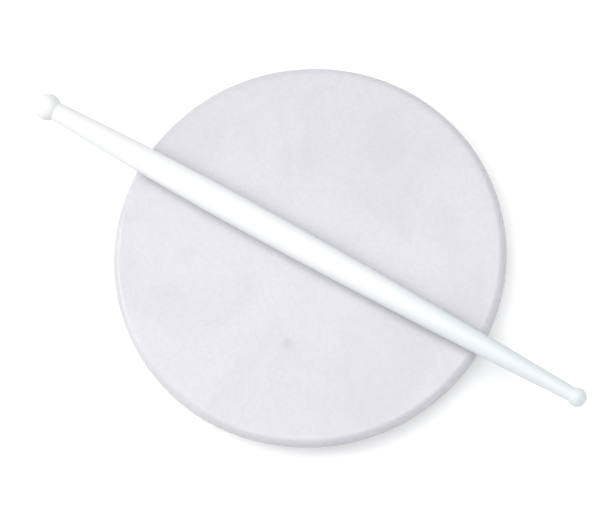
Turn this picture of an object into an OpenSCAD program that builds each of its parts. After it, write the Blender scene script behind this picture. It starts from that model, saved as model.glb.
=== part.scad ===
// Round stone rolling board on three button feet, with a slim rolling pin lying across it.
// Millimetres, +Z up.  The origin is on the board's axis, at the surface the pads stand on.

/* [Board] */
// Diameter of the stone board
board_d = 229; // [200:1:255]
// Thickness of the stone board
board_t = 12; // [12:0.5:20]
// Radius rounding the rim's upper edge
rim_top_r = 5; // [2:0.5:5.5]
// Radius rounding the rim's lower edge
rim_low_r = 5.5; // [2:0.5:5.5]

/* [Feet] */
// Diameter of the circle that the feet stand on
foot_circle_d = 150; // [110:1:150]
// Diameter of a foot's top flange
foot_top_d = 32; // [28:1:38]
// Diameter of a foot's lower bead
foot_low_d = 28; // [26:1:32]
// Diameter of a foot's waist
foot_waist_d = 22; // [21:0.5:24]
// Height of a foot between its two end faces
foot_h = 14; // [12:0.5:20]
// Diameter of the spigot that locates a foot in the board
spigot_d = 12; // [8:0.5:16]
// Height of the spigot
spigot_h = 4; // [2:0.5:6]
// Thickness of the resin between a foot and the board
glue_t = 0.5; // [0.3:0.1:1]

/* [Foot pads] */
// Diameter of an anti-slip pad
pad_d = 18; // [12:0.5:20]
// Thickness of an anti-slip pad
pad_t = 2.5; // [2:0.1:4]
// Depth of the recess that holds a pad
pad_seat = 1; // [0.5:0.1:1.5]

/* [Pin] */
// Length of the pin over its end balls
pin_l = 371; // [330:1:420]
// Diameter of the pin's barrel
pin_d = 18; // [16:0.5:24]
// Diameter of the ball on the thick end
big_ball_d = 16; // [14:0.5:18]
// Diameter of the shaft beside the thick end's ball
big_neck_d = 11.2; // [9:0.1:13]
// Diameter of the ball on the slim end
small_ball_d = 11.2; // [9.6:0.1:12]
// Diameter of the shaft beside the slim end's ball
small_neck_d = 8.6; // [7:0.1:9]
// Distance from the thick end's tip to the barrel
barrel_from = 132; // [100:1:150]
// Length of the barrel, which is a true cylinder
barrel_l = 12; // [8:1:60]
// Gap left under the pin, so that it lies on the board without cutting into it
pin_gap = 0.2; // [0.1:0.05:0.4]

/* [Hidden] */
$fn = 96;
foot_count = 3;            // feet, evenly spaced round the board's axis
steps_per_taper = 14;      // straight stretches that each tapered flank is turned in
thick_flank_power = 1.5;   // how late the thick end's flank falls away from the barrel
slim_flank_power = 1.7;    // the same for the slim end's flank
flange_t = 3;              // thickness of a foot's top flange
bead_t = 5;                // thickness of a foot's lower bead
eps = 0.01;                // overlap where two shapes of one solid are joined

foot_z = pad_t - pad_seat;
board_z = foot_z + foot_h + glue_t;
board_top = board_z + board_t;
pin_z = board_top + pin_gap + pin_d / 2;
socket_d = spigot_d + 2 * glue_t;
socket_h = spigot_h + glue_t;

// Direction of foot i, counted from 1; the first one is on +X
function foot_angle(i) = 360 / foot_count * (i - 1);

// Puts its children at foot i's place
module at_foot(i) {
    rotate([0, 0, foot_angle(i)])
        translate([foot_circle_d / 2, 0, 0])
            children();
}

// Half section of the board: a flat disc whose rim is rounded above and below
module board_section() {
    r = board_d / 2;
    square([r - rim_top_r, board_t]);
    square([r - rim_low_r, board_t - rim_top_r]);
    translate([0, rim_low_r])
        square([r, board_t - rim_top_r - rim_low_r]);
    intersection() {
        union() {
            translate([r - rim_top_r, board_t - rim_top_r])
                circle(rim_top_r);
            translate([r - rim_low_r, rim_low_r])
                circle(rim_low_r);
        }
        square([r, board_t]);
    }
}

module board() {
    color([0.90, 0.89, 0.92])
        translate([0, 0, board_z])
            difference() {
                rotate_extrude()
                    board_section();
                for (i = [1 : foot_count])
                    at_foot(i)
                        translate([0, 0, -eps])
                            cylinder(d = socket_d, h = socket_h + eps);
            }
}

// Turned button foot: flange, waist and rounded bead, with a spigot on top and a pad recess below
module foot(i) {
    bead_r = bead_t / 2;
    color([0.87, 0.87, 0.90])
        at_foot(i)
            translate([0, 0, foot_z])
                difference() {
                    rotate_extrude()
                        union() {
                            translate([0, foot_h - flange_t])
                                square([foot_top_d / 2, flange_t]);
                            square([foot_waist_d / 2, foot_h]);
                            square([foot_low_d / 2 - bead_r, bead_t]);
                            translate([foot_low_d / 2 - bead_r, bead_r])
                                circle(bead_r);
                            square([spigot_d / 2, foot_h + spigot_h]);
                        }
                    translate([0, 0, -eps])
                        cylinder(d = pad_d, h = pad_seat + eps);
                }
}

// Cured resin: a flat bed over the foot's flange and a cup round its spigot
module foot_glue(i) {
    color([0.86, 0.80, 0.62])
        at_foot(i)
            translate([0, 0, foot_z + foot_h])
                difference() {
                    union() {
                        cylinder(d = foot_top_d, h = glue_t);
                        cylinder(d = socket_d, h = glue_t + socket_h);
                    }
                    translate([0, 0, -eps])
                        cylinder(d = spigot_d, h = spigot_h + eps);
                }
}

module foot_pad(i) {
    color([0.78, 0.80, 0.82])
        at_foot(i)
            cylinder(d = pad_d, h = pad_t);
}

// Radius of a flank: s runs from 0 at the barrel to 1 at the neck
function flank_r(s, neck_d, power) = pin_d / 2 - (pin_d - neck_d) / 2 * pow(s, power);

// Distance from a ball's centre to where a neck of that diameter meets it
function ball_seat(ball_d, neck_d) = sqrt(pow(ball_d / 2, 2) - pow(neck_d / 2, 2));

// The pin is drawn along Z from the thick end's tip, then laid down along X
module pin() {
    barrel_to = barrel_from + barrel_l;
    big_c = big_ball_d / 2;
    small_c = pin_l - small_ball_d / 2;
    neck_1 = big_c + ball_seat(big_ball_d, big_neck_d);
    neck_2 = small_c - ball_seat(small_ball_d, small_neck_d);
    steps = [for (k = [0 : steps_per_taper]) k / steps_per_taper];
    thick_flank = [
        for (s = steps)
            [flank_r(1 - s, big_neck_d, thick_flank_power), neck_1 + (barrel_from - neck_1) * s]
    ];
    slim_flank = [
        for (s = steps)
            [flank_r(s, small_neck_d, slim_flank_power), barrel_to + (neck_2 - barrel_to) * s]
    ];
    color([0.97, 0.98, 0.98])
        translate([-pin_l / 2, 0, pin_z])
            rotate([0, 90, 0])
                union() {
                    rotate_extrude()
                        polygon(concat([[0, big_c]], [[big_neck_d / 2, big_c]],
                                       thick_flank, slim_flank,
                                       [[small_neck_d / 2, small_c]], [[0, small_c]]));
                    translate([0, 0, big_c])
                        sphere(d = big_ball_d);
                    translate([0, 0, small_c])
                        sphere(d = small_ball_d);
                }
}

board();
foot(1);  // foot_1
foot(2);  // foot_2
foot(3);  // foot_3
foot_glue(1);  // foot_glue_1
foot_glue(2);  // foot_glue_2
foot_glue(3);  // foot_glue_3
foot_pad(1);  // foot_pad_1
foot_pad(2);  // foot_pad_2
foot_pad(3);  // foot_pad_3
pin();
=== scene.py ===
"""A round polished stone rolling board on three button feet, with its slim rolling pin.

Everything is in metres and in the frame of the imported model: +Z up from the surface that the
board stands on, +X along the pin from its thick end to its slim end.
"""
import logging
import math
from collections.abc import Callable, Iterable
from dataclasses import dataclass, field
from enum import Enum

import bmesh
import bpy
from mathutils import Matrix, Vector, noise


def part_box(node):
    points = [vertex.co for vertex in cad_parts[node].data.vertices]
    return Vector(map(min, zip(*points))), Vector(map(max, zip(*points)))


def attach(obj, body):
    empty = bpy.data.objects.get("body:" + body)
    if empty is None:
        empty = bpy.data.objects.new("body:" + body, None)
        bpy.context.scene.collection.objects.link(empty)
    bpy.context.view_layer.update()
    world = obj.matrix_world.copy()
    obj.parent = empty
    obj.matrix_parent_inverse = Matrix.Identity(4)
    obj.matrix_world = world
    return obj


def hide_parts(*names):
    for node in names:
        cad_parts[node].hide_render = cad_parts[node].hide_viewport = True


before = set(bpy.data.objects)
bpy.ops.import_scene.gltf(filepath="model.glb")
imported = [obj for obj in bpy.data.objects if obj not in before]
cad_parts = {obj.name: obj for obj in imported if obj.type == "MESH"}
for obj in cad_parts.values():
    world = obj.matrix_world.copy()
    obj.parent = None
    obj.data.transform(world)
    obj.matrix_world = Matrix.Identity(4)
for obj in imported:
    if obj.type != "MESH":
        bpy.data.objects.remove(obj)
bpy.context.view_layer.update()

log = logging.getLogger("rolling_board")

MM = 0.001
MERGE = 1e-7                  # vertices closer than this are one vertex
ON_RING = 1e-6                # vertices closer than this to a circle lie on it
NODE_STEP = 200               # distance between two shader nodes in a tree's layout

Colour = tuple[float, float, float]
Point = tuple[float, float]   # distance from the turning axis, and place along it
Socket = bpy.types.NodeSocket


# ---------------------------------------------------------------- shader graphs

class Graph:
    """A node tree that is laid out from left to right as nodes are added to it."""

    def __init__(self, tree: bpy.types.NodeTree) -> None:
        """Takes over a tree.

        Args:
            tree: The node tree that the nodes go into.
        """
        self.tree = tree

    def add(self, kind: str, inputs: dict | None = None, **settings: object) -> bpy.types.Node:
        """Adds one node.

        Args:
            kind: The node's type, such as "ShaderNodeBump".
            inputs: Input name or number to a socket, which is linked, or to a plain value.
            **settings: Properties of the node itself.

        Returns:
            The new node.
        """
        node = self.tree.nodes.new(kind)
        node.location.x = NODE_STEP * len(self.tree.nodes)
        for name, value in settings.items():
            setattr(node, name, value)
        for key, value in (inputs or {}).items():
            if isinstance(value, Socket):
                self.tree.links.new(value, node.inputs[key])
            else:
                node.inputs[key].default_value = value
        return node

    def math(self, operation: str, a: Socket | float, b: Socket | float = 0.0) -> Socket:
        """Returns the result of a Math node on a and b."""
        return self.add("ShaderNodeMath", {0: a, 1: b}, operation=operation).outputs[0]

    def mix(self, factor: Socket | float, a: Socket | Colour, b: Socket | Colour) -> Socket:
        """Mixes two colours.

        Args:
            factor: Share of the second colour, from 0 to 1.
            a: The first colour.
            b: The second colour.

        Returns:
            The mixed colour.
        """
        sides = [v if isinstance(v, Socket) else (*v, 1.0) for v in (a, b)]
        node = self.add("ShaderNodeMix", {0: factor, 6: sides[0], 7: sides[1]}, data_type="RGBA")
        return node.outputs[2]

    def remap(self, value: Socket, start: float, stop: float, low: float = 0.0,
              high: float = 1.0) -> Socket:
        """Maps a value smoothly from one range onto another.

        Args:
            value: What is mapped.
            start: The value that becomes low.
            stop: The value that becomes high.
            low: Result at start and below.
            high: Result at stop and above.

        Returns:
            The mapped value.
        """
        limits = {0: value, 1: start, 2: stop, 3: low, 4: high}
        return self.add("ShaderNodeMapRange", limits, interpolation_type="SMOOTHSTEP").outputs[0]

    def object_place(self) -> Socket:
        """Returns the Object coordinates, which are the row frame's own metres."""
        return self.add("ShaderNodeTexCoord").outputs["Object"]


@dataclass(frozen=True)
class Effect:
    """A surface effect that several finishes share, kept as one shader node group.

    Attributes:
        name: The node group's name.
        inputs: Input names and their defaults; a default of None makes a vector input.
        outputs: Output names, all of them plain values.
        draw: Fills the group from its input sockets and returns one socket for each output.
    """

    name: str
    inputs: dict[str, float | None]
    outputs: tuple[str, ...]
    draw: Callable[[Graph, dict[str, Socket]], Iterable[Socket]]

    def tree(self) -> bpy.types.NodeTree:
        """Makes the node group on first use, and finds it again later.

        Returns:
            The node group.
        """
        found = bpy.data.node_groups.get(self.name)
        if found:
            return found
        tree = bpy.data.node_groups.new(self.name, "ShaderNodeTree")
        for name, default in self.inputs.items():
            kind = "NodeSocketVector" if default is None else "NodeSocketFloat"
            socket = tree.interface.new_socket(name, in_out="INPUT", socket_type=kind)
            if default is not None:
                socket.default_value = default
        for name in self.outputs:
            tree.interface.new_socket(name, in_out="OUTPUT", socket_type="NodeSocketFloat")
        graph = Graph(tree)
        entry = graph.add("NodeGroupInput")
        made = self.draw(graph, {name: entry.outputs[name] for name in self.inputs})
        graph.add("NodeGroupOutput", dict(zip(self.outputs, made)))
        return tree

    def place(self, graph: Graph, **inputs: Socket | float) -> bpy.types.Node:
        """Places the effect in a finish.

        Args:
            graph: The finish's graph.
            **inputs: Sockets or values for the group's inputs.

        Returns:
            The group node.
        """
        return graph.add("ShaderNodeGroup", inputs, node_tree=self.tree())


def scaled(graph: Graph, place: Socket, size: Socket) -> Socket:
    """Measures a place in patterns of one size, so that the textures on it need no scale.

    Args:
        graph: The group's graph.
        place: The place in metres.
        size: Size of one pattern in metres.

    Returns:
        The place in patterns.
    """
    ratio = graph.math("DIVIDE", 1.0, size)
    node = graph.add("ShaderNodeVectorMath", {0: place}, operation="SCALE")
    graph.tree.links.new(ratio, node.inputs["Scale"])
    return node.outputs[0]


def draw_clouds(graph: Graph, given: dict[str, Socket]) -> Iterable[Socket]:
    """Draws the soft clouds of a metamorphic stone.

    Args:
        graph: The group's graph.
        given: Place, and Size of a cloud in metres.

    Returns:
        The cloud mask from 0 to 1.
    """
    place = scaled(graph, given["Place"], given["Size"])
    shape = {"Scale": 1.0, "Detail": 5.0, "Roughness": 0.55, "Distortion": 0.7}
    billow = graph.add("ShaderNodeTexNoise", {"Vector": place, **shape})
    return (graph.remap(billow.outputs[0], 0.42, 0.72),)


def draw_grain(graph: Graph, given: dict[str, Socket]) -> Iterable[Socket]:
    """Draws a fine crystalline grain.

    Args:
        graph: The group's graph.
        given: Place, and Size of a grain in metres.

    Returns:
        The grain from 0 to 1, and a rougher version of it that serves as height.
    """
    place = scaled(graph, given["Place"], given["Size"])
    speckle = graph.add("ShaderNodeTexNoise", {"Vector": place, "Scale": 0.7, "Detail": 2.0})
    crystal = graph.add("ShaderNodeTexVoronoi", {"Vector": place, "Scale": 1.0})
    facet = graph.add("ShaderNodeSeparateColor", {0: crystal.outputs["Color"]}).outputs[0]
    value = graph.add("ShaderNodeMix", {0: 0.35, 2: speckle.outputs[0], 3: facet})
    return value.outputs[0], graph.math("MULTIPLY", crystal.outputs["Distance"], value.outputs[0])


def draw_smears(graph: Graph, given: dict[str, Socket]) -> Iterable[Socket]:
    """Draws the wiped, slightly greasy patches that handling leaves on a gloss surface.

    Args:
        graph: The group's graph.
        given: Place, and Size of a patch in metres.

    Returns:
        The patch mask from 0 to 1.
    """
    place = scaled(graph, given["Place"], given["Size"])
    drawn = graph.add("ShaderNodeMapping", {"Vector": place, "Scale": (1.0, 0.35, 1.0)})
    shape = {"Scale": 1.0, "Detail": 3.0, "Roughness": 0.5, "Distortion": 0.4}
    wiped = graph.add("ShaderNodeTexNoise", {"Vector": drawn.outputs[0], **shape})
    return (graph.remap(wiped.outputs[0], 0.15, 0.85),)


def draw_turning(graph: Graph, given: dict[str, Socket]) -> Iterable[Socket]:
    """Draws the fine rings that a turning tool leaves round its axis.

    Args:
        graph: The group's graph.
        given: Along, the place along the feed of the tool, and Pitch of the rings, in metres.

    Returns:
        The rings' height from 0 to 1.
    """
    turns = graph.math("DIVIDE", given["Along"], given["Pitch"])
    cut = graph.add("ShaderNodeTexNoise", {"W": turns, "Scale": 1.0, "Detail": 2.0},
                    noise_dimensions="1D")
    return (graph.remap(cut.outputs[0], 0.3, 0.7),)


CLOUDS = Effect("stone_clouds", {"Place": None, "Size": 0.05}, ("Cloud",), draw_clouds)
GRAIN = Effect("fine_grain", {"Place": None, "Size": 0.001}, ("Grain", "Height"), draw_grain)
SMEARS = Effect("wiped_smears", {"Place": None, "Size": 0.04}, ("Smear",), draw_smears)
TURNING = Effect("turning_rings", {"Along": 0.0, "Pitch": 0.0006}, ("Ring",), draw_turning)


# ---------------------------------------------------------------- finishes

def surface(name: str, **shader: float | Colour) -> tuple[bpy.types.Material, Graph, bpy.types.Node]:
    """Makes an empty procedural material with a Principled BSDF.

    Args:
        name: The material's name.
        **shader: Plain values for the BSDF's sockets, with _ for a space in their names.

    Returns:
        The material, its graph and its BSDF node.
    """
    material = bpy.data.materials.new(name)
    material.use_nodes = True
    material.node_tree.nodes.clear()
    graph = Graph(material.node_tree)
    bsdf = graph.add("ShaderNodeBsdfPrincipled", {k.replace("_", " "): v for k, v in shader.items()})
    graph.add("ShaderNodeOutputMaterial", {"Surface": bsdf.outputs[0]})
    return material, graph, bsdf


def connect(graph: Graph, bsdf: bpy.types.Node, colour: Socket, roughness: Socket,
            height: Socket, depth: float) -> None:
    """Wires a finish's colour, roughness and relief into its BSDF.

    Args:
        graph: The finish's graph.
        bsdf: Its Principled BSDF node.
        colour: Base colour.
        roughness: Roughness.
        height: Relief from 0 to 1.
        depth: How deep that relief is, in metres.
    """
    bump = graph.add("ShaderNodeBump", {"Height": height, "Distance": depth, "Strength": 1.0})
    graph.tree.links.new(colour, bsdf.inputs["Base Color"])
    graph.tree.links.new(roughness, bsdf.inputs["Roughness"])
    graph.tree.links.new(bump.outputs[0], bsdf.inputs["Normal"])


@dataclass(frozen=True)
class Fleck:
    """A soft grey patch of the stone at a place of its own.

    Attributes:
        place: Its middle, in the row frame.
        radius: How far it reaches.
        depth: How much darker than the stone it is, as a share.
    """

    place: tuple[float, float, float]
    radius: float
    depth: float


class Tooling(Enum):
    """How the surface of a stone piece was worked."""

    POLISHED = "polished"
    SAWN = "sawn"
    TURNED = "turned"


@dataclass(frozen=True)
class Stone:
    """White cloudy marble.

    Attributes:
        name: The material's name.
        tooling: How its surface was worked.
        tint: Colour of the clear stone.
        cloud_tint: Colour of the clouds.
        cloud_size: Size of a cloud.
        cloud_share: How strongly the clouds show.
        grain_tint: Colour of the darkest grains.
        grain_share: How strongly the grain shows.
        fleck_tint: Colour in the middle of a fleck.
        roughness: Roughness of the worked surface where it is cleanest.
        dulling: How much rougher it is where it has been handled.
        relief: Depth of the relief that the tool left.
        flecks: Patches at places of their own.
    """

    name: str
    tooling: Tooling
    tint: Colour = (0.612, 0.603, 0.634)
    cloud_tint: Colour = (0.548, 0.540, 0.572)
    cloud_size: float = 55 * MM
    cloud_share: float = 0.55
    grain_tint: Colour = (0.45, 0.44, 0.48)
    grain_share: float = 0.16
    fleck_tint: Colour = (0.30, 0.30, 0.33)
    roughness: float = 0.18
    dulling: float = 0.07
    relief: float = 0.01 * MM
    flecks: tuple[Fleck, ...] = ()

    def material(self) -> bpy.types.Material:
        """Makes the stone.

        Returns:
            Its procedural material.
        """
        material, graph, bsdf = surface(self.name, Specular_IOR_Level=0.35, Subsurface_Weight=0.12,
                                        Subsurface_Radius=(0.004, 0.0036, 0.0034),
                                        Subsurface_Scale=1.0)
        place = graph.object_place()
        clouds = CLOUDS.place(graph, Place=place, Size=self.cloud_size)
        grain = GRAIN.place(graph, Place=place, Size=1.6 * MM)
        smears = SMEARS.place(graph, Place=place, Size=60 * MM)
        cloudy = graph.math("MULTIPLY", clouds.outputs["Cloud"], self.cloud_share)
        colour = graph.mix(cloudy, self.tint, self.cloud_tint)
        colour = self.sprinkle(graph, colour, place)
        grainy = graph.remap(grain.outputs["Grain"], 0.25, 0.75, self.grain_share, 0.0)
        colour = graph.mix(grainy, colour, self.grain_tint)
        dullest = self.roughness + self.dulling
        rough = graph.remap(smears.outputs["Smear"], 0.0, 1.0, self.roughness, dullest)
        connect(graph, bsdf, colour, rough, self.marks(graph, place, grain), self.relief)
        return material

    def sprinkle(self, graph: Graph, colour: Socket, place: Socket) -> Socket:
        """Darkens the stone at its flecks.

        Args:
            graph: The finish's graph.
            colour: The stone's colour without flecks.
            place: The Object coordinates.

        Returns:
            The colour with the flecks in it.
        """
        wobble = graph.add("ShaderNodeTexNoise", {"Vector": place, "Scale": 60.0, "Detail": 3.0})
        for fleck in self.flecks:
            apart = graph.add("ShaderNodeVectorMath", {0: place, 1: fleck.place}, operation="DISTANCE")
            spread = graph.math("MULTIPLY", wobble.outputs[0], 1.4 * fleck.radius)
            reach = graph.math("ADD", apart.outputs["Value"], spread)
            mask = graph.remap(reach, 0.5 * fleck.radius, 1.7 * fleck.radius, fleck.depth, 0.0)
            colour = graph.mix(mask, colour, self.fleck_tint)
        return colour

    def marks(self, graph: Graph, place: Socket, grain: bpy.types.Node) -> Socket:
        """Draws the relief that the stone's tooling left.

        Args:
            graph: The finish's graph.
            place: The Object coordinates.
            grain: The placed grain effect.

        Returns:
            The relief's height from 0 to 1.
        """
        if self.tooling is Tooling.POLISHED:
            return grain.outputs["Height"]
        axis = {Tooling.SAWN: "X", Tooling.TURNED: "Z"}[self.tooling]
        along = graph.add("ShaderNodeSeparateXYZ", {0: place}).outputs[axis]
        rings = TURNING.place(graph, Along=along, Pitch=0.7 * MM)
        return graph.math("ADD", rings.outputs["Ring"], grain.outputs["Height"])


@dataclass(frozen=True)
class Plastic:
    """White food-grade plastic, turned and lightly buffed.

    Attributes:
        name: The material's name.
        tint: Its colour.
        shade: Its colour where it has been handled.
        thick_end_painted_shade: Painted shade at the end towards -X, a greyer colour in place of light
            falling off there.
        slim_end_painted_shade: Painted shade at the end towards +X, greyer and cooler in place of light
            falling off there.
        roughness: Roughness where it is cleanest.
        dulling: How much rougher it is where it has been handled.
        pitch: Distance between two turning rings.
        relief: Depth of the rings.
    """

    name: str = "white_turned_plastic"
    tint: Colour = (0.810, 0.830, 0.840)
    shade: Colour = (0.770, 0.795, 0.795)
    thick_end_painted_shade: Colour = (0.750, 0.770, 0.750)
    slim_end_painted_shade: Colour = (0.680, 0.725, 0.740)
    roughness: float = 0.36
    dulling: float = 0.12
    pitch: float = 0.5 * MM
    relief: float = 0.006 * MM

    def material(self) -> bpy.types.Material:
        """Makes the plastic.

        Returns:
            Its procedural material.
        """
        material, graph, bsdf = surface(self.name, Specular_IOR_Level=0.35, Subsurface_Weight=0.15,
                                        Subsurface_Radius=(0.003, 0.003, 0.003),
                                        Subsurface_Scale=1.0)
        place = graph.object_place()
        smears = SMEARS.place(graph, Place=place, Size=30 * MM)
        grain = GRAIN.place(graph, Place=place, Size=0.6 * MM)
        along = graph.add("ShaderNodeSeparateXYZ", {0: place}).outputs["X"]
        rings = TURNING.place(graph, Along=along, Pitch=self.pitch)
        colour = graph.mix(graph.math("MULTIPLY", smears.outputs["Smear"], 0.35), self.tint, self.shade)
        # Painted shade: towards both ends the colour turns greyer, and cooler at the slim end, in place of
        # the light that falls off along the pin.
        colour = graph.mix(graph.remap(along, -0.09, -0.18), colour, self.thick_end_painted_shade)
        colour = graph.mix(graph.remap(along, 0.0, 0.14), colour, self.slim_end_painted_shade)
        grainy = graph.remap(grain.outputs["Grain"], 0.3, 0.7, 0.05, 0.0)
        colour = graph.mix(grainy, colour, self.shade)
        dullest = self.roughness + self.dulling
        rough = graph.remap(smears.outputs["Smear"], 0.0, 1.0, self.roughness, dullest)
        connect(graph, bsdf, colour, rough, rings.outputs["Ring"], self.relief)
        return material


@dataclass(frozen=True)
class Resin:
    """Clear epoxy that has cured a little amber, with fine bubbles.

    Attributes:
        name: The material's name.
        tint: Colour of a thin layer.
        deep: Colour where it lies thick.
        bubble_tint: Colour of the fine bubbles.
        roughness: Its roughness where it is clearest.
        dulling: How much rougher it is at a bubble.
    """

    name: str = "cured_resin"
    tint: Colour = (0.72, 0.63, 0.40)
    deep: Colour = (0.52, 0.40, 0.18)
    bubble_tint: Colour = (0.88, 0.84, 0.72)
    roughness: float = 0.29
    dulling: float = 0.2

    def material(self) -> bpy.types.Material:
        """Makes the resin.

        Returns:
            Its procedural material.
        """
        material, graph, bsdf = surface(self.name, IOR=1.55, Subsurface_Weight=0.3,
                                        Subsurface_Radius=(0.002, 0.0015, 0.0008),
                                        Subsurface_Scale=1.0)
        place = graph.object_place()
        thick = CLOUDS.place(graph, Place=place, Size=6 * MM)
        bubbles = GRAIN.place(graph, Place=place, Size=0.8 * MM)
        colour = graph.mix(thick.outputs["Cloud"], self.tint, self.deep)
        pale = graph.remap(bubbles.outputs["Grain"], 0.62, 0.7, 0.0, 0.5)
        colour = graph.mix(pale, colour, self.bubble_tint)
        dullest = self.roughness + self.dulling
        rough = graph.remap(bubbles.outputs["Grain"], 0.0, 1.0, self.roughness, dullest)
        connect(graph, bsdf, colour, rough, thick.outputs["Cloud"], 0.15 * MM)
        return material


@dataclass(frozen=True)
class Rubber:
    """Pale grey moulded rubber with a dusty bloom.

    Attributes:
        name: The material's name.
        tint: Its colour.
        dust: Colour of the bloom and dust on it.
        roughness: Its roughness where it is smoothest.
        dulling: How much rougher its grain makes it.
    """

    name: str = "pad_rubber"
    tint: Colour = (0.40, 0.42, 0.44)
    dust: Colour = (0.60, 0.60, 0.58)
    roughness: float = 0.62
    dulling: float = 0.2

    def material(self) -> bpy.types.Material:
        """Makes the rubber.

        Returns:
            Its procedural material.
        """
        material, graph, bsdf = surface(self.name, IOR=1.52, Sheen_Weight=0.15)
        place = graph.object_place()
        bloom = SMEARS.place(graph, Place=place, Size=8 * MM)
        grain = GRAIN.place(graph, Place=place, Size=0.35 * MM)
        dusty = graph.math("MULTIPLY", bloom.outputs["Smear"], 0.6)
        colour = graph.mix(dusty, self.tint, self.dust)
        dullest = self.roughness + self.dulling
        rough = graph.remap(grain.outputs["Grain"], 0.2, 0.8, self.roughness, dullest)
        connect(graph, bsdf, colour, rough, grain.outputs["Height"], 0.04 * MM)
        return material


@dataclass(frozen=True)
class Sweep:
    """Matt white paper of a studio sweep, lit a little from behind.

    It is clear when looked at from below, so that the underside shows.

    Attributes:
        name: The material's name.
        tint: Its colour.
        fibre_tint: Colour of its fibres.
        glow: How much light comes through it towards the camera.
    """

    name: str = "paper_sweep"
    tint: Colour = (0.86, 0.86, 0.865)
    fibre_tint: Colour = (0.7, 0.7, 0.7)
    glow: float = 0.26

    def material(self) -> bpy.types.Material:
        """Makes the paper.

        Returns:
            Its procedural material.
        """
        material, graph, bsdf = surface(self.name, IOR=1.3, Emission_Color=(1.0, 1.0, 1.0, 1.0))
        place = graph.object_place()
        fibres = GRAIN.place(graph, Place=place, Size=0.8 * MM)
        faint = graph.math("MULTIPLY", fibres.outputs["Grain"], 0.015)
        colour = graph.mix(faint, self.tint, self.fibre_tint)
        rough = graph.remap(fibres.outputs["Grain"], 0.0, 1.0, 0.85, 0.95)
        seen = graph.add("ShaderNodeLightPath").outputs["Is Camera Ray"]
        glow = graph.math("MULTIPLY", seen, self.glow)
        behind = graph.add("ShaderNodeNewGeometry").outputs["Backfacing"]
        graph.tree.links.new(glow, bsdf.inputs["Emission Strength"])
        graph.tree.links.new(graph.math("SUBTRACT", 1.0, behind), bsdf.inputs["Alpha"])
        connect(graph, bsdf, colour, rough, fibres.outputs["Height"], 0.01 * MM)
        return material


# ---------------------------------------------------------------- mesh work

def turned(outline: list[Point], steps: int) -> bmesh.types.BMesh:
    """Turns an outline into a closed solid round Z.

    Args:
        outline: Points from one pole to the other, each with its distance from Z and its height.
        steps: Faces round the full turn.

    Returns:
        The solid, with its faces pointing outwards.
    """
    bm = bmesh.new()
    verts = [bm.verts.new((radius, 0.0, height)) for radius, height in outline]
    edges = [bm.edges.new(pair) for pair in zip(verts, verts[1:])]
    bmesh.ops.spin(bm, geom=verts + edges, axis=(0, 0, 1), cent=(0, 0, 0), angle=math.tau,
                   steps=steps, use_merge=True)
    bmesh.ops.remove_doubles(bm, verts=bm.verts, dist=MERGE)
    bmesh.ops.recalc_face_normals(bm, faces=bm.faces)
    return bm


def ring(bm: bmesh.types.BMesh, radius: float, height: float) -> list[bmesh.types.BMEdge]:
    """Finds the circle of edges at one radius and height.

    Args:
        bm: A turned solid.
        radius: The circle's radius.
        height: The circle's height.

    Returns:
        Its edges.
    """
    def on_it(vert: bmesh.types.BMVert) -> bool:
        """Says whether a vertex lies on the circle."""
        return abs(vert.co.z - height) < ON_RING and abs(vert.co.xy.length - radius) < ON_RING

    return [edge for edge in bm.edges if all(on_it(vert) for vert in edge.verts)]


def round_ring(bm: bmesh.types.BMesh, radius: float, height: float, by: float,
               segments: int = 4) -> None:
    """Rounds one circle of edges over.

    Args:
        bm: A turned solid.
        radius: The circle's radius.
        height: The circle's height.
        by: Radius of the rounding.
        segments: Steps across the rounding.
    """
    bmesh.ops.bevel(bm, geom=ring(bm, radius, height), offset=by, offset_type="OFFSET",
                    segments=segments, profile=0.5, affect="EDGES", material=-1)


def piece(bm: bmesh.types.BMesh, name: str, *materials: bpy.types.Material,
          flat_above: float = 40.0) -> bpy.types.Object:
    """Makes a finished mesh into a smooth-shaded object at the origin.

    Args:
        bm: The mesh, with its place in it. It is freed.
        name: The object's name.
        *materials: Its materials, in the order of the faces' material numbers.
        flat_above: Angle in degrees above which an edge stays crisp.

    Returns:
        The object.
    """
    mesh = bpy.data.meshes.new(name)
    bm.to_mesh(mesh)
    bm.free()
    for material in materials:
        mesh.materials.append(material)
    mesh.shade_smooth()
    mesh.set_sharp_from_angle(angle=math.radians(flat_above))
    made = bpy.data.objects.new(name, mesh)
    bpy.context.scene.collection.objects.link(made)
    return made


def arc(centre: Point, radius: float, start: float, stop: float, steps: int) -> list[Point]:
    """Returns points on an arc of an outline.

    Args:
        centre: The arc's centre.
        radius: Its radius.
        start: Angle of its first point in degrees, 0 outwards from the axis and 90 upwards.
        stop: Angle of its last point.
        steps: Stretches that the arc is cut in.

    Returns:
        The points, both ends included.
    """
    angles = [math.radians(start + (stop - start) * k / steps) for k in range(steps + 1)]
    return [(centre[0] + radius * math.cos(a), centre[1] + radius * math.sin(a)) for a in angles]


def install(made: bpy.types.Object, body: str, node: str) -> None:
    """Puts a piece in its CAD node's place and reports it.

    Args:
        made: The piece.
        body: The CAD body that it rides on.
        node: The CAD node that it stands for.
    """
    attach(made, body)
    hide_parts(node)
    log.info("%s stands for %s on %s, %d faces", made.name, node, body, len(made.data.polygons))


# ---------------------------------------------------------------- the board

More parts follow.
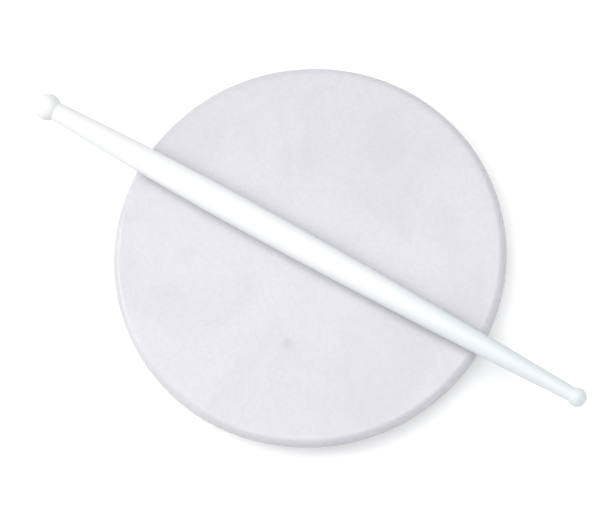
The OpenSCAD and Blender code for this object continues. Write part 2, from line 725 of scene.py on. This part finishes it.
@dataclass
class Board:
    """The stone disc.

    Attributes:
        node: Its CAD node.
        top_round: Radius rounding the rim's upper edge.
        low_round: Radius rounding the rim's lower edge.
        socket_radius: Radius of the blind holes for the feet's spigots.
        hand_ease: How far hand polishing has worn the rim inwards at most.
        wear_pitch: How many patches of that wear follow one another in a metre.
        margin: Flat left between the rim's upper rounding and the ring that the middle begins at.
        steps: Faces round the rim.
        radius: Its radius.
        low: Height of its underside.
        top: Height of its face.
    """

    node: str = "board"
    top_round: float = 5 * MM
    low_round: float = 5.5 * MM
    socket_radius: float = 6.5 * MM
    hand_ease: float = 0.18 * MM
    wear_pitch: float = 28.0
    margin: float = 2 * MM
    steps: int = 288
    radius: float = field(init=False)
    low: float = field(init=False)
    top: float = field(init=False)

    def __post_init__(self) -> None:
        """Takes the disc's size from its CAD node."""
        lowest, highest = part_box(self.node)
        self.radius = highest.x
        self.low = lowest.z
        self.top = highest.z

    def finishes(self) -> tuple[bpy.types.Material, bpy.types.Material]:
        """Makes the board's two finishes.

        Returns:
            The polished stone, and the sawn stone of the underside.
        """
        top = self.top
        flecks = (
            Fleck((0.016, -0.052, top), 5 * MM, 0.32),
            Fleck((0.010, 0.080, top), 17 * MM, 0.07),
            Fleck((0.030, 0.086, top), 11 * MM, 0.07),
            Fleck((-0.041, 0.043, top), 15 * MM, 0.05),
            Fleck((-0.057, -0.057, top), 9 * MM, 0.08),
            Fleck((-0.022, -0.033, top), 8 * MM, 0.07),
            Fleck((-0.061, -0.036, top), 9 * MM, 0.05),
            Fleck((0.073, 0.046, top), 14 * MM, 0.06),
        )
        polished = Stone("polished_marble", Tooling.POLISHED, flecks=flecks)
        sawn = Stone("sawn_marble", Tooling.SAWN, roughness=0.55, relief=0.05 * MM)
        return polished.material(), sawn.material()

    def build(self, feet: list["Foot"]) -> bpy.types.Object:
        """Builds the disc with a socket for each foot.

        Args:
            feet: The feet whose spigots the underside takes.

        Returns:
            The disc.
        """
        outer, low, top = self.radius, self.low, self.top
        inner = outer - self.top_round - self.margin
        bm = turned([(0, low), (inner, low), (outer, low), (outer, top), (inner, top), (0, top)],
                    self.steps)
        round_ring(bm, outer, top, self.top_round, 12)
        round_ring(bm, outer, low, self.low_round, 10)
        self.ease_rim(bm)
        self.drill(bm, inner, feet)
        return piece(bm, "stone_board", *self.finishes())

    def ease_rim(self, bm: bmesh.types.BMesh) -> None:
        """Wears the rim inwards by a little that varies round it, as hand polishing does.

        Args:
            bm: The disc.
        """
        start = self.radius - self.top_round
        for vert in bm.verts:
            reach = vert.co.xy.length
            share = max(0.0, (reach - start) / self.top_round)
            wear = 0.5 + 0.5 * noise.noise(vert.co * self.wear_pitch)
            vert.co.xy *= 1.0 - self.hand_ease * share * wear / max(reach, start)

    def drill(self, bm: bmesh.types.BMesh, inner: float, feet: list["Foot"]) -> None:
        """Opens a blind socket in the underside for each foot, and finishes the underside.

        Args:
            bm: The disc.
            inner: Radius of the underside's flat middle, which is made anew with holes in it.
            feet: The feet whose spigots go into the sockets.
        """
        middle = [face for face in bm.faces if face.normal.z < -0.99
                  and face.calc_center_median().xy.length < inner]
        bmesh.ops.delete(bm, geom=middle, context="FACES")
        loops = ring(bm, inner, self.low)
        mouths = []
        for foot in feet:
            place = Matrix.Translation((foot.centre.x, foot.centre.y, self.low))
            made = bmesh.ops.create_circle(bm, radius=self.socket_radius, segments=64, matrix=place)
            edges = [edge for vert in made["verts"] for edge in vert.link_edges]
            mouths.append(list(dict.fromkeys(edges)))
        bmesh.ops.triangle_fill(bm, use_beauty=True, edges=loops + [e for m in mouths for e in m],
                                normal=(0, 0, -1))
        for mouth, foot in zip(mouths, feet):
            wall = bmesh.ops.extrude_edge_only(bm, edges=mouth)["geom"]
            rim = [item for item in wall if isinstance(item, bmesh.types.BMVert)]
            bmesh.ops.translate(bm, verts=rim, vec=(0, 0, foot.socket_top - self.low))
            bmesh.ops.contextual_create(bm, geom=rim)
        bmesh.ops.recalc_face_normals(bm, faces=bm.faces)
        for face in bm.faces:
            centre = face.calc_center_median()
            in_socket = centre.z < self.top - MM and centre.xy.length < inner
            face.material_index = int(in_socket or centre.z < self.low + MERGE)


# ---------------------------------------------------------------- the feet

@dataclass
class Foot:
    """One turned button foot, the resin that holds it and the pad under it.

    Attributes:
        number: The foot's number, from 1.
        waist_radius: Radius of its waist.
        bead_radius: Radius of its lower bead.
        bead_height: Height of that bead.
        flange_height: Thickness of its top flange.
        spigot_radius: Radius of its spigot.
        bead_round: Radius rounding the bead's edges, as a share of its height.
        hollow: Radius of the hollow under its flange.
        soft_edge: Radius rounding its worn edges.
        crisp_edge: Radius rounding its hidden edges.
        squeeze: How far the resin has been squeezed out past the flange.
        lump: How uneven that reach is, as a share of it.
        lump_pitch: How many of its lumps follow one another in a metre.
        groove_depth: Depth of the grooves moulded in the pad.
        groove_width: Width of those grooves.
        groove_slope: Width of a groove's sloping side.
        pad_edge: Radius rounding the pad's lower edge.
        seat_edge: Radius rounding its upper edge, which is seated in the foot.
        steps: Faces round the foot.
        centre: Its middle, seen from above.
        low: Height of its lower end face.
        face: Height of its upper end face.
        spigot_top: Height of its spigot's end.
        flange_radius: Radius of its top flange.
        socket_top: Height of the board's socket's end.
        pad_radius: Radius of its pad.
        pad_top: Height of its pad's upper face.
    """

    number: int
    waist_radius: float = 11 * MM
    bead_radius: float = 14 * MM
    bead_height: float = 5 * MM
    flange_height: float = 3 * MM
    spigot_radius: float = 6 * MM
    bead_round: float = 0.49
    hollow: float = 1.5 * MM
    soft_edge: float = 0.8 * MM
    crisp_edge: float = 0.4 * MM
    squeeze: float = 0.9 * MM
    lump: float = 0.35
    lump_pitch: float = 160.0
    groove_depth: float = 0.5 * MM
    groove_width: float = 0.9 * MM
    groove_slope: float = 0.2 * MM
    pad_edge: float = 0.5 * MM
    seat_edge: float = 0.2 * MM
    steps: int = 96
    centre: Vector = field(init=False)
    low: float = field(init=False)
    face: float = field(init=False)
    spigot_top: float = field(init=False)
    flange_radius: float = field(init=False)
    socket_top: float = field(init=False)
    pad_radius: float = field(init=False)
    pad_top: float = field(init=False)

    def __post_init__(self) -> None:
        """Takes the foot's place and heights from its CAD nodes."""
        foot_low, foot_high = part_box(f"foot_{self.number}")
        glue_low, glue_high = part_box(f"foot_glue_{self.number}")
        pad_low, pad_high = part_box(f"foot_pad_{self.number}")
        self.centre = (pad_low + pad_high) / 2
        self.low, self.spigot_top = foot_low.z, foot_high.z
        self.flange_radius = (foot_high.x - foot_low.x) / 2
        self.face, self.socket_top = glue_low.z, glue_high.z
        self.pad_radius, self.pad_top = (pad_high.x - pad_low.x) / 2, pad_high.z

    def placed(self, bm: bmesh.types.BMesh) -> bmesh.types.BMesh:
        """Moves a solid turned round Z to the foot's own place, and returns it."""
        bmesh.ops.translate(bm, verts=bm.verts, vec=(self.centre.x, self.centre.y, 0))
        return bm

    def build_button(self, stone: bpy.types.Material) -> bpy.types.Object:
        """Turns the stone button.

        Args:
            stone: Its material.

        Returns:
            The button.
        """
        flange_low = self.face - self.flange_height
        bead_top = self.low + self.bead_height
        bm = turned([
            (0, self.pad_top), (self.pad_radius, self.pad_top), (self.pad_radius, self.low),
            (self.bead_radius, self.low), (self.bead_radius, bead_top),
            (self.waist_radius, bead_top), (self.waist_radius, flange_low),
            (self.flange_radius, flange_low), (self.flange_radius, self.face),
            (self.spigot_radius, self.face), (self.spigot_radius, self.spigot_top),
            (0, self.spigot_top),
        ], self.steps)
        for height in (self.low, bead_top):
            round_ring(bm, self.bead_radius, height, self.bead_round * self.bead_height, 8)
        round_ring(bm, self.waist_radius, bead_top, self.soft_edge)
        round_ring(bm, self.waist_radius, flange_low, self.hollow, 6)
        round_ring(bm, self.flange_radius, flange_low, self.soft_edge)
        round_ring(bm, self.flange_radius, self.face, self.crisp_edge)
        round_ring(bm, self.spigot_radius, self.spigot_top, self.crisp_edge)
        return piece(self.placed(bm), f"button_foot_{self.number}", stone)

    def build_resin(self, resin: bpy.types.Material, underside: float) -> bpy.types.Object:
        """Turns the resin bed with its cup round the spigot and the bead squeezed out of it.

        Args:
            resin: Its material.
            underside: Height of the board's underside.

        Returns:
            The resin.
        """
        cup = self.spigot_radius + (self.socket_top - self.spigot_top)
        flange, spread = self.flange_radius, self.squeeze
        cling = self.face - 0.7 * spread
        bm = turned([
            (0, self.spigot_top), (self.spigot_radius, self.spigot_top),
            (self.spigot_radius, self.face), (flange, self.face), (flange, cling),
            (flange + 0.45 * spread, self.face - 0.25 * spread), (flange + spread, underside),
            (cup, underside), (cup, self.socket_top), (0, self.socket_top),
        ], self.steps)
        for vert in bm.verts:
            out = vert.co.xy.length - flange
            if out > MERGE or abs(vert.co.z - cling) < MERGE:
                seed = Vector((9.0 * self.number, 0, 0))
                swell = self.lump * noise.noise(vert.co * self.lump_pitch + seed)
                vert.co.xy *= 1.0 + swell * max(out, 0.1 * spread) / flange
        return piece(self.placed(bm), f"resin_bed_{self.number}", resin)

    def build_pad(self, rubber: bpy.types.Material) -> bpy.types.Object:
        """Moulds the pad with ring grooves in the face it stands on.

        Args:
            rubber: Its material.

        Returns:
            The pad.
        """
        grooves = [share * self.pad_radius for share in (0.25, 0.5, 0.75)]
        outline: list[Point] = [(0, 0)]
        for start in grooves:
            stop, slope = start + self.groove_width, self.groove_slope
            outline += [(start, 0), (start + slope, self.groove_depth),
                        (stop - slope, self.groove_depth), (stop, 0)]
        outline += [(self.pad_radius, 0), (self.pad_radius, self.pad_top), (0, self.pad_top)]
        bm = turned(outline, self.steps)
        round_ring(bm, self.pad_radius, 0, self.pad_edge)
        round_ring(bm, self.pad_radius, self.pad_top, self.seat_edge, 2)
        return piece(self.placed(bm), f"rubber_pad_{self.number}", rubber)


# ---------------------------------------------------------------- the pin

@dataclass
class Pin:
    """The slim turned rolling pin.

    Attributes:
        node: Its CAD node.
        body: The CAD body that it is.
        big_ball: Radius of the thick end's ball.
        big_neck: Radius of the shaft beside it.
        small_ball: Radius of the slim end's ball.
        small_neck: Radius of the shaft beside it.
        barrel_from: Distance from the thick end's tip to the barrel.
        barrel_length: Length of the barrel.
        thick_power: How late the thick end's flank falls away from the barrel.
        slim_power: The same for the slim end's flank.
        centre_hole: Radius of the small mark that the lathe's centre left in each tip.
        steps: Faces round the pin.
        length: Its length over both balls.
        radius: Radius of its barrel.
        tip: The thick end's outermost point, on the pin's axis.
    """

    node: str = "pin"
    body: str = "pin"
    big_ball: float = 8 * MM
    big_neck: float = 5.6 * MM
    small_ball: float = 5.6 * MM
    small_neck: float = 4.3 * MM
    barrel_from: float = 132 * MM
    barrel_length: float = 12 * MM
    thick_power: float = 1.5
    slim_power: float = 1.7
    centre_hole: float = 0.9 * MM
    steps: int = 96
    length: float = field(init=False)
    radius: float = field(init=False)
    tip: Vector = field(init=False)

    def __post_init__(self) -> None:
        """Takes the pin's length, thickness and place from its CAD node."""
        lowest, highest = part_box(self.node)
        self.length = highest.x - lowest.x
        self.radius = (highest.z - lowest.z) / 2
        self.tip = Vector((lowest.x, 0.0, (lowest.z + highest.z) / 2))

    def flank(self, start: float, stop: float, neck: float, power: float,
              count: int = 36) -> list[Point]:
        """Returns the outline of a flank from the barrel to a neck.

        Args:
            start: Place of the barrel's end.
            stop: Place of the neck.
            neck: Radius of the neck.
            power: How late the flank falls away.
            count: Stretches in it.

        Returns:
            The points in order from the barrel.
        """
        drop = self.radius - neck
        shares = [k / count for k in range(count + 1)]
        return [(self.radius - drop * s ** power, start + (stop - start) * s) for s in shares]

    def outline(self) -> list[Point]:
        """Draws half of the pin's section.

        Returns:
            The outline from the thick end's tip to the slim end's.
        """
        big_at, small_at = self.big_ball, self.length - self.small_ball
        big_meets = math.degrees(math.acos(self.big_neck / self.big_ball))
        small_meets = math.degrees(math.acos(self.small_neck / self.small_ball))
        neck_1 = big_at + math.sqrt(self.big_ball ** 2 - self.big_neck ** 2)
        neck_2 = small_at - math.sqrt(self.small_ball ** 2 - self.small_neck ** 2)
        barrel_to = self.barrel_from + self.barrel_length
        hole = self.centre_hole
        big_hole = math.degrees(math.acos(hole / self.big_ball))
        small_hole = math.degrees(math.acos(hole / self.small_ball))
        thick = self.flank(self.barrel_from, neck_1, self.big_neck, self.thick_power)
        slim = self.flank(barrel_to, neck_2, self.small_neck, self.slim_power, 48)
        return [
            (0, hole),
            *arc((0, big_at), self.big_ball, -big_hole, big_meets, 28),
            *reversed(thick[:-1]),
            *slim,
            *arc((0, small_at), self.small_ball, -small_meets, small_hole, 24)[1:],
            (0, self.length - hole),
        ]

    def build(self, plastic: bpy.types.Material) -> bpy.types.Object:
        """Turns the pin and lays it down along X.

        Args:
            plastic: Its material.

        Returns:
            The pin.
        """
        bm = turned(self.outline(), self.steps)
        lay = Matrix.Translation(self.tip) @ Matrix.Rotation(math.radians(90), 4, "Y")
        bmesh.ops.transform(bm, matrix=lay, verts=bm.verts)
        return piece(bm, "rolling_pin", plastic, flat_above=35.0)


# ---------------------------------------------------------------- the studio

@dataclass
class Softbox:
    """One soft area light that faces the board.

    Attributes:
        name: The light's name.
        place: Where it hangs.
        size: Its side.
        power: Its power in watts.
        tint: Its colour.
    """

    name: str
    place: tuple[float, float, float]
    size: float
    power: float
    tint: Colour = (1.0, 1.0, 1.0)

    def hang(self, target: Vector) -> None:
        """Makes the light and turns it to a target.

        Args:
            target: What it faces.
        """
        data = bpy.data.lights.new(self.name, "AREA")
        data.shape, data.size, data.energy, data.color = "SQUARE", self.size, self.power, self.tint
        light = bpy.data.objects.new(self.name, data)
        light.location = self.place
        light.visible_camera = False
        light.rotation_euler = (target - light.location).to_track_quat("-Z", "Y").to_euler()
        bpy.context.scene.collection.objects.link(light)


@dataclass
class Studio:
    """The floor, the lights and the camera.

    Attributes:
        aim: The point of the board's face in the middle of the view.
        azimuth: Direction of the camera round the board in degrees, 0 at -Y.
        elevation: Its height above the horizon in degrees.
        roll: Its turn about its own line of sight in degrees.
        distance: Its distance from the aim.
        lens: Its focal length in millimetres.
        world_light: Strength of the even light all round.
        floor_radius: How far the floor reaches.
        floor_gap: How far it lies below the pads, so that their faces don't share its plane.
    """

    aim: tuple[float, float] = (-2.6 * MM, -6.0 * MM)
    azimuth: float = 46.2
    elevation: float = 73.0
    roll: float = -16.15
    distance: float = 3.5
    lens: float = 361.9
    world_light: float = 0.43
    floor_radius: float = 4.0
    floor_gap: float = 0.05 * MM

    def lay_floor(self) -> None:
        """Lays the paper floor, which isn't part of the object."""
        bm = bmesh.new()
        under = Matrix.Translation((0, 0, -self.floor_gap))
        bmesh.ops.create_circle(bm, cap_ends=True, radius=self.floor_radius, segments=96, matrix=under)
        piece(bm, "floor", Sweep().material())

    def hang_lights(self, target: Vector) -> None:
        """Hangs the softboxes and sets the even light.

        Args:
            target: What the softboxes face.
        """
        boxes = (
            Softbox("key", (-1.72, -0.62, 1.35), 1.4, 25.0, (1.0, 0.995, 0.98)),
            Softbox("top", (0.20, -0.32, 3.20), 3.0, 80.0),
            Softbox("fill", (1.50, 0.70, 0.80), 1.2, 3.2, (0.92, 0.96, 1.0)),
        )
        for box in boxes:
            box.hang(target)
        world = bpy.data.worlds.new("even_light")
        world.use_nodes = True
        background = world.node_tree.nodes["Background"]
        background.inputs["Color"].default_value = (0.95, 0.97, 1.0, 1.0)
        background.inputs["Strength"].default_value = self.world_light
        bpy.context.scene.world = world
        bpy.context.scene.view_settings.view_transform = "Standard"

    def set_camera(self, face: float) -> None:
        """Makes the scene's camera.

        Args:
            face: Height of the board's face.
        """
        data = bpy.data.cameras.new("camera")
        data.lens, data.sensor_width = self.lens, 36.0
        camera = bpy.data.objects.new("camera", data)
        a, e = math.radians(self.azimuth), math.radians(self.elevation)
        back = Vector((math.sin(a) * math.cos(e), -math.cos(a) * math.cos(e), math.sin(e)))
        aim = Vector((*self.aim, face))
        turn = Matrix.Rotation(math.radians(self.roll), 3, back) @ back.to_track_quat("Z", "Y").to_matrix()
        camera.matrix_world = Matrix.Translation(aim + back * self.distance) @ turn.to_4x4()
        bpy.context.scene.collection.objects.link(camera)
        bpy.context.scene.camera = camera


# ---------------------------------------------------------------- the whole

def main() -> None:
    """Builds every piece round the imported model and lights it."""
    logging.basicConfig(level=logging.INFO, format="%(name)s: %(message)s")
    board = Board()
    studio = Studio()
    studio.set_camera(board.top)
    studio.lay_floor()
    studio.hang_lights(Vector((0, 0, board.top)))

    feet = [Foot(number) for number in (1, 2, 3)]
    install(board.build(feet), "board", board.node)
    stone = Stone("turned_marble", Tooling.TURNED, cloud_size=22 * MM, roughness=0.34,
                  relief=0.03 * MM).material()
    resin, rubber = Resin().material(), Rubber().material()
    for foot in feet:
        n = foot.number
        install(foot.build_button(stone), "board", f"foot_{n}")
        install(foot.build_resin(resin, board.low), "board", f"foot_glue_{n}")
        install(foot.build_pad(rubber), "board", f"foot_pad_{n}")
    pin = Pin()
    install(pin.build(Plastic().material()), pin.body, pin.node)


if __name__ == "__main__":
    main()
